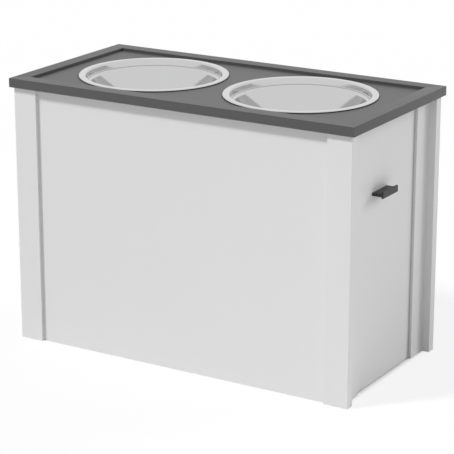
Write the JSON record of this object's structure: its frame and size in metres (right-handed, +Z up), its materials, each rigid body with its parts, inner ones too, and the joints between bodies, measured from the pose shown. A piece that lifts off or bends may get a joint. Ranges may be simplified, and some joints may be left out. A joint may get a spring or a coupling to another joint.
{
  "type": "elevated dog feeder with storage",
  "caption": "Raised feeding station with lift-out steel bowls in a rimmed top over a panelled cabinet, whose end face is the front of a pull-out storage drawer on roller runners.",
  "frame": {"origin": "centre of the footprint, on the floor", "axes": "+X along the front from left to right, towards the drawer's face; +Y from front to back; +Z up"},
  "size_m": [0.6, 0.3, 0.425],
  "materials": {
    "grey_lacquer": "satin grey lacquered board",
    "white_lacquer": "satin white lacquered board",
    "white_board": "white melamine-faced board",
    "drawer_sheet": "white-faced hardboard",
    "batten_wood": "planed pine, uncoated",
    "beech": "fluted beech dowel",
    "bowl_steel": "polished stainless steel",
    "pull_metal": "satin anthracite coating on metal",
    "runner_epoxy": "white epoxy-coated sheet steel",
    "nylon": "natural white nylon",
    "zinc": "zinc-plated steel"
  },
  "bodies": {
    "cabinet": {"top_tray": "grey_lacquer", "rim_front": "grey_lacquer", "rim_back": "grey_lacquer", "rim_left": "grey_lacquer", "rim_right": "grey_lacquer", "front_panel": "white_lacquer", "front_stile_left": "white_lacquer", "front_stile_right": "white_lacquer", "back_panel": "white_lacquer", "back_stile_left": "white_lacquer", "back_stile_right": "white_lacquer", "left_panel": "white_lacquer", "left_stile_front": "white_lacquer", "left_stile_back": "white_lacquer", "right_stile_front": "white_lacquer", "right_stile_back": "white_lacquer", "bottom_board": "white_board", "bottom_cleat_front": "batten_wood", "bottom_cleat_back": "batten_wood", "tie_rail_left": "batten_wood", "tie_rail_right": "batten_wood", "top_cleat_front": "batten_wood", "top_cleat_back": "batten_wood", "guide_board_front": "white_board", "guide_board_back": "white_board", "cabinet_runner_front": "runner_epoxy", "cabinet_runner_back": "runner_epoxy", "cabinet_runner_screws": "zinc", "cam_discs": "zinc", "cam_bolts": "zinc", "corner_dowels": "beech", "guide_dowels": "beech", "guide_screws": "zinc", "top_screws": "zinc", "top_cleat_screws": "zinc", "bottom_board_screws": "zinc", "bottom_cleat_screws": "zinc"},
    "drawer": {"drawer_face": "white_lacquer", "drawer_inner_front": "white_board", "drawer_side_front": "white_board", "drawer_side_back": "white_board", "drawer_back": "white_board", "drawer_bottom": "drawer_sheet", "drawer_runner_front": "runner_epoxy", "drawer_runner_back": "runner_epoxy", "pull": "pull_metal", "pull_screws": "zinc", "drawer_face_screws": "zinc", "drawer_box_screws": "zinc", "drawer_runner_screws": "zinc"},
    "bowl_left_body": {"bowl_left": "bowl_steel"},
    "bowl_right_body": {"bowl_right": "bowl_steel"},
    "cabinet_rollers": {"cabinet_roller_front": "nylon", "cabinet_roller_back": "nylon"},
    "drawer_rollers": {"drawer_roller_front": "nylon", "drawer_roller_back": "nylon"}
  },
  "joints": [
    {"name": "drawer_slide", "type": "slide", "parent": "cabinet", "child": "drawer", "axis": [1, 0, 0], "range_m": [0, 0.36]},
    {"name": "bowl_left_lift", "type": "slide", "parent": "cabinet", "child": "bowl_left_body", "axis": [0, 0, 1], "range_m": [0, 0.12]},
    {"name": "bowl_right_lift", "type": "slide", "parent": "cabinet", "child": "bowl_right_body", "axis": [0, 0, 1], "range_m": [0, 0.12]},
    {"name": "cabinet_roller_spin", "type": "hinge", "parent": "cabinet", "child": "cabinet_rollers", "pos_m": [0.2525, 0, 0.0595], "axis": [0, 1, 0], "range_deg": [0, 2600]},
    {"name": "drawer_roller_spin", "type": "hinge", "parent": "drawer", "child": "drawer_rollers", "pos_m": [-0.2035, 0, 0.061], "axis": [0, 1, 0], "range_deg": [0, 2200]}
  ],
  "couplings": [
    {"joint": "cabinet_roller_spin", "follows": "drawer_slide", "rad_per_m": 125},
    {"joint": "drawer_roller_spin", "follows": "drawer_slide", "rad_per_m": 105.26}
  ]
}
